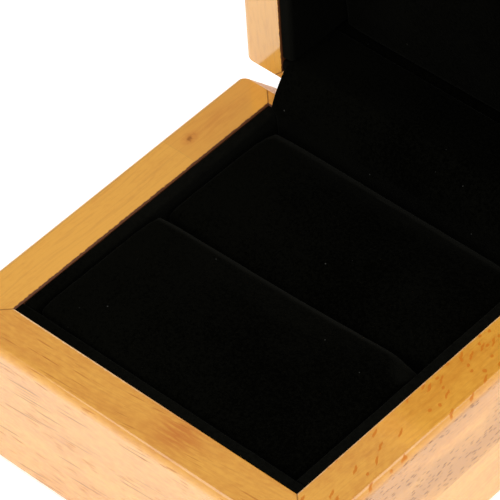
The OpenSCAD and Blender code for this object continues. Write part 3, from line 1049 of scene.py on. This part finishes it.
def velvet_hinge_cover(name):
    """A strip of velvet drawn out along its path, from the base's rear wall to the lid."""
    path = cover_path()
    low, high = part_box("hinge_cover")
    bpy.ops.object.select_all(action="DESELECT")
    bpy.ops.mesh.primitive_plane_add(size=1, location=path[0])
    cover = bpy.context.object
    cover.name = name
    cover.scale = (high.x - low.x, FLAP_THICKNESS, 1)
    bpy.ops.object.transform_apply(location=True, rotation=True, scale=True)
    bpy.ops.object.mode_set(mode="EDIT")
    select_edges(cover, lambda edge: runs_along(edge, "Y"))
    bpy.ops.mesh.delete(type="EDGE")
    select_edges(cover, lambda edge: edge.verts[0].co.y > path[0].y)
    bpy.ops.mesh.delete(type="VERT")
    bpy.ops.mesh.select_all(action="SELECT")
    bpy.ops.transform.translate(value=(0, FLAP_THICKNESS / 2, 0))
    bpy.ops.mesh.subdivide(number_cuts=FLAP_CUTS)
    bpy.ops.mesh.select_all(action="SELECT")
    for here, there in zip(path, path[1:]):
        bpy.ops.mesh.extrude_region_move(TRANSFORM_OT_translate={"value": there - here})
    below = path[FLAP_FOOT].z - 0.1 * MM
    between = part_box("base_right_liner")[0].x - FLAP_GAP
    select_edges(cover, lambda edge: all(v.co.z < below for v in edge.verts))
    bpy.ops.transform.resize(value=(between / high.x, 1, 1), center_override=(0, 0, 0))
    bpy.ops.mesh.select_all(action="SELECT")
    bpy.ops.mesh.normals_make_consistent(inside=False)
    bpy.ops.object.mode_set(mode="OBJECT")
    add_modifier(cover, "Thickness", "SOLIDIFY", thickness=FLAP_THICKNESS, offset=0)
    add_modifier(cover, "Round", "SUBSURF", levels=1, render_levels=1)
    roughen(cover, "nap", size=4 * MM, height=0.1 * MM)
    bpy.ops.object.shade_smooth()
    return cover, path


# Stage


def level_towards(azimuth):
    """The level direction from the box towards an azimuth."""
    return Vector((math.sin(azimuth), -math.cos(azimuth), 0))


def camera_axes(stage):
    """The camera's right and up, and the direction from its aim back to it."""
    outward = level_towards(stage.azimuth)
    back = math.cos(stage.elevation) * outward + math.sin(stage.elevation) * UP
    level = UP.cross(outward)
    upright = back.cross(level)
    right = math.cos(stage.roll) * level + math.sin(stage.roll) * upright
    above = math.cos(stage.roll) * upright - math.sin(stage.roll) * level
    return right, above, back


def white_table(name, stage):
    """A white table top that glows a little, as one under strong light does."""
    return new_finish(name).surface(
        {
            "Base Color": stage.table_colour,
            "Roughness": 0.9,
            "Emission Color": WHITE,
            "Emission Strength": stage.table_glow,
        }
    )


def white_room(name, stage):
    """Soft light all round, brighter on the camera's side."""
    room = Finish(bpy.data.worlds.new(name), "Generated")
    towards = room.node(
        "ShaderNodeVectorMath",
        {"operation": "DOT_PRODUCT"},
        {0: room.place, 1: level_towards(stage.azimuth)},
        "Value",
    )
    brighter = stage.front_glow - stage.room_glow
    glow = stage.room_glow + brighter * room.band(towards, -0.5, 0.7)
    sky = room.node("ShaderNodeBackground", {}, {"Color": WHITE, "Strength": glow})
    return room.end("ShaderNodeOutputWorld", sky)


# Operators


class RINGBOX_OT_wood(bpy.types.Operator):
    """Gives each board of the base and the lid its own cut of lacquered wood"""

    bl_idname = "ringbox.wood"
    bl_label = "Lacquered wood"

    boards = {
        "base_front_wall": {
            "along": "X",
            "seed": 1,
            "long_pores": 0.6,
            "short_pores": 0.3,
            "slant": math.radians(-4),
            "mitre": base_mitre,
            "marks": front_wall_marks,
        },
        "base_rear_wall": {
            "along": "X",
            "seed": 2,
            "mitre": base_mitre,
            "marks": rear_wall_marks,
        },
        "base_left_wall": {
            "along": "Y",
            "seed": 3,
            "tone": -0.14,
            "long_pores": 0.12,
            "short_pores": 0.1,
            "mitre": base_mitre,
            "marks": left_wall_marks,
        },
        "base_right_upper_strip": {
            "along": "Y",
            "seed": 4,
            "long_pores": 0.0,
            "short_pores": 0.0,
            "mitre": base_mitre,
            "marks": right_wall_marks,
        },
        "base_right_lower_strip": {
            "along": "Y",
            "seed": 5,
            "tone": -0.1,
            "long_pores": 0.12,
            "short_pores": 0.1,
            "mitre": base_mitre,
        },
        "base_bottom_panel": {"along": "X", "seed": 6},
        "lid_front_wall": {"along": "X", "seed": 7, "mitre": lid_mitre},
        "lid_rear_wall": {"along": "X", "seed": 8, "mitre": lid_mitre},
        "lid_left_wall": {
            "along": "Z",
            "seed": 9,
            "tone": -0.15,
            "long_pores": 0.1,
            "short_pores": 0.15,
            "mitre": lid_mitre,
            "marks": lid_left_marks,
        },
        "lid_right_wall": {"along": "Z", "seed": 10, "mitre": lid_mitre},
        "lid_top_panel": {"along": "X", "seed": 11},
    }

    def execute(self, context):
        for node, cut in self.boards.items():
            wood = lacquered_wood(node + " wood", context.scene.ring_box_wood, **cut)
            paint(frame["nodes"][node], wood)
        return {"FINISHED"}


class RINGBOX_OT_hinge(bpy.types.Operator):
    """Plates the hinge leaves, pin, spring and screws"""

    bl_idname = "ringbox.hinge"
    bl_label = "Nickel-plated hinge"

    def execute(self, context):
        plate = nickel_plate("nickel plate", context.scene.ring_box_steel, "X")
        for node in (
            "hinge_base_leaf",
            "hinge_lid_leaf",
            "hinge_pin",
            "hinge_spring",
            "base_hinge_screws",
            "lid_hinge_screws",
        ):
            paint(frame["nodes"][node], plate)
        return {"FINISHED"}


class RINGBOX_OT_card(bpy.types.Operator):
    """Gives the hidden floor card and lid board their grey card"""

    bl_idname = "ringbox.card"
    bl_label = "Grey card"

    def execute(self, context):
        card = grey_card("grey card", context.scene.ring_box_card)
        for node in ("floor_card", "lid_pad_board"):
            paint(frame["nodes"][node], card)
        return {"FINISHED"}


class RINGBOX_OT_linings(bpy.types.Operator):
    """Models the velvet-covered strips on the inner walls"""

    bl_idname = "ringbox.linings"
    bl_label = "Velvet linings"

    strips = (
        ("base_front_liner", "base", UP, BACK, "X"),
        ("base_rear_liner", "base", UP, -BACK, "X"),
        ("base_left_liner", "base", UP, RIGHT, "Y"),
        ("base_right_liner", "base", UP, -RIGHT, "Y"),
        ("lid_front_liner", "lid", -BACK, -UP, "X"),
        ("lid_rear_liner", "lid", -BACK, UP, "X"),
        ("lid_left_liner", "lid", -BACK, RIGHT, "Z"),
        ("lid_right_liner", "lid", -BACK, -RIGHT, "Z"),
    )

    def execute(self, context):
        pile = context.scene.ring_box_velvet
        # The lid's velvets take the painted shade colour
        velvets = {
            "base": velvet_pile("base lining velvet", pile, 1, pile.brushed, base_rim),
            "lid": velvet_pile("lid lining velvet", pile, 4, pile.lid_painted_shade, lid_rim),
        }
        for node, body, rim, inward, along in self.strips:
            strip = covered_strip("velvet_" + node, node, rim, inward, along)
            paint(strip, velvets[body])
            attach(strip, body)
            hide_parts(node)
        return {"FINISHED"}


class RINGBOX_OT_pads(bpy.types.Operator):
    """Stuffs the two halves of the ring cushion and the pad in the lid"""

    bl_idname = "ringbox.pads"
    bl_label = "Velvet pads"

    pads = (
        ("front_ring_cushion", "front_ring_pad", "base", UP, RIGHT + BACK),
        ("rear_ring_cushion", "rear_ring_pad", "base", UP, None),
        ("lid_cushion", "lid_pad", "lid", -BACK, None),
    )

    def execute(self, context):
        velvet = context.scene.ring_box_velvet
        covers = {
            "base": velvet_pile("cushion velvet", velvet, 2, velvet.brushed, painted_rear_sheen),
            "lid": velvet_pile("lid pad velvet", velvet, 5, velvet.lid_painted_shade),
        }
        for name, node, body, rim, dent in self.pads:
            pad = stuffed_pad(name, node, rim, velvet, dent)
            paint(pad, covers[body])
            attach(pad, body)
            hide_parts(node)
        return {"FINISHED"}


class RINGBOX_OT_hinge_cover(bpy.types.Operator):
    """Lays the strip of velvet that hides the hinge"""

    bl_idname = "ringbox.hinge_cover"
    bl_label = "Velvet hinge cover"

    def execute(self, context):
        cover, path = velvet_hinge_cover("velvet_hinge_cover")
        length = sum((b - a).length for a, b in zip(path, path[1:]))
        velvet = context.scene.ring_box_velvet
        paint(cover, velvet_pile("cover velvet", velvet, 3, velvet.brushed))
        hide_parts("hinge_cover")
        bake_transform(cover)
        return {"FINISHED"}


class RINGBOX_OT_stage(bpy.types.Operator):
    """Sets up the white table, the soft light all round and the camera"""

    bl_idname = "ringbox.stage"
    bl_label = "Table, light and camera"

    def execute(self, context):
        stage = context.scene.ring_box_stage
        bpy.ops.object.select_all(action="DESELECT")
        bpy.ops.mesh.primitive_plane_add(size=stage.table_width)
        table = context.object
        table.name = "white_table"
        paint(table, white_table("white table", stage))

        bpy.ops.object.light_add(type="AREA", location=stage.lamp_height * UP)
        lamp = context.object
        lamp.data.shape = "DISK"
        lamp.data.size = stage.lamp_width
        lamp.data.energy = stage.lamp_power

        right, above, back = camera_axes(stage)
        bpy.ops.object.camera_add(
            location=Vector(stage.aim) + stage.distance * back,
            rotation=Matrix((right, above, back)).transposed().to_euler(),
        )
        camera = context.object
        camera.data.lens = stage.lens
        camera.data.sensor_width = SENSOR_WIDTH
        camera.data.clip_start = CLIP_START
        context.scene.camera = camera
        context.scene.world = white_room("white room", stage)
        context.scene.view_settings.view_transform = "Standard"
        return {"FINISHED"}


class RINGBOX_PT_sidebar(bpy.types.Panel):
    """Steps that dress the ring box"""

    bl_idname = "RINGBOX_PT_sidebar"
    bl_label = "Ring Box"
    bl_space_type = "VIEW_3D"
    bl_region_type = "UI"
    bl_category = "Ring Box"

    def draw(self, context):
        for step in STEPS:
            self.layout.operator(step.bl_idname)
        for group in GROUPS:
            settings = getattr(context.scene, group)
            for key in settings.bl_rna.properties.keys():
                if key not in ("rna_type", "name"):
                    self.layout.prop(settings, key)


GROUPS = {
    "ring_box_wood": WoodProperties,
    "ring_box_velvet": VelvetProperties,
    "ring_box_steel": SteelProperties,
    "ring_box_card": CardProperties,
    "ring_box_stage": StageProperties,
}
STEPS = (
    RINGBOX_OT_stage,
    RINGBOX_OT_wood,
    RINGBOX_OT_hinge,
    RINGBOX_OT_card,
    RINGBOX_OT_linings,
    RINGBOX_OT_pads,
    RINGBOX_OT_hinge_cover,
)


def register():
    for group, kind in GROUPS.items():
        bpy.utils.register_class(kind)
        setattr(bpy.types.Scene, group, PointerProperty(type=kind))
    for step in STEPS:
        bpy.utils.register_class(step)
    bpy.utils.register_class(RINGBOX_PT_sidebar)


def unregister():
    bpy.utils.unregister_class(RINGBOX_PT_sidebar)
    for step in reversed(STEPS):
        bpy.utils.unregister_class(step)
    for group, kind in GROUPS.items():
        delattr(bpy.types.Scene, group)
        bpy.utils.unregister_class(kind)


def main():
    register()
    bpy.ops.ringbox.stage()
    bpy.ops.ringbox.wood()
    bpy.ops.ringbox.hinge()
    bpy.ops.ringbox.card()
    bpy.ops.ringbox.linings()
    bpy.ops.ringbox.pads()
    bpy.ops.ringbox.hinge_cover()


if __name__ == "__main__":
    main()
